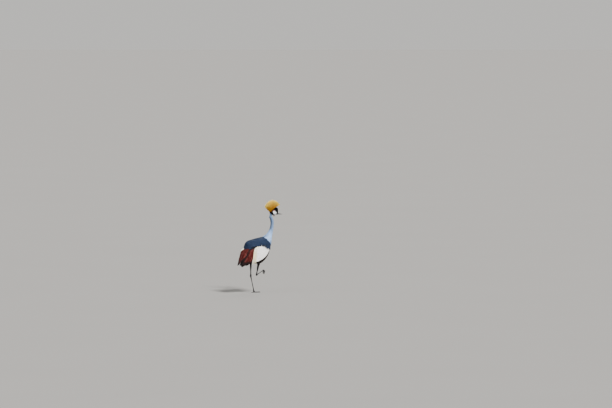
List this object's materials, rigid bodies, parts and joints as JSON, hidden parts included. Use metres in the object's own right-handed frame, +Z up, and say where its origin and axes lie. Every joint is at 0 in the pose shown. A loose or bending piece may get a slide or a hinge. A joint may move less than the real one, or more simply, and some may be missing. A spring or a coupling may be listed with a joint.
{
  "type": "grey crowned crane",
  "caption": "Life-size still model of a grey crowned crane that stands on one leg, the other raised, with folded wings and a fan of golden crest bristles.",
  "frame": {"origin": "on the floor under the middle of the model's box", "axes": "+X the way the body faces, +Y its left side, +Z up"},
  "size_m": [0.6253, 0.224, 1.0684],
  "materials": {
    "slate_feathers": "matte feathers",
    "neck_feathers": "soft pale grey feathers",
    "velvet_black": "velvet-like short feathers",
    "crest_gold": "stiff golden bristles",
    "wattle_red": "bare red skin",
    "bill_horn": "dark horn",
    "eye_pale": "wet and glossy",
    "wing_feathers": "overlapping vanes",
    "tail_feathers": "overlapping vanes",
    "leg_scales": "scaled skin",
    "claw_horn": "horn"
  },
  "bodies": {
    "root": {"torso": "slate_feathers", "neck_lower": "neck_feathers", "neck_upper": "neck_feathers", "head": "velvet_black", "bill_upper": "bill_horn", "bill_lower": "bill_horn", "eye_left": "eye_pale", "eye_right": "eye_pale", "wattle": "wattle_red", "crest": "crest_gold", "wing_left": "wing_feathers", "wing_right": "wing_feathers", "tail": "tail_feathers", "tibia_left": "leg_scales", "tibia_right": "leg_scales", "tarsus_left": "leg_scales", "tarsus_right": "leg_scales", "foot_left": "leg_scales", "foot_right": "leg_scales", "claw_left_middle": "claw_horn", "claw_left_inner": "claw_horn", "claw_left_outer": "claw_horn", "claw_left_hind": "claw_horn", "claw_right_middle": "claw_horn", "claw_right_inner": "claw_horn", "claw_right_outer": "claw_horn", "claw_right_hind": "claw_horn"}
  },
  "joints": []
}
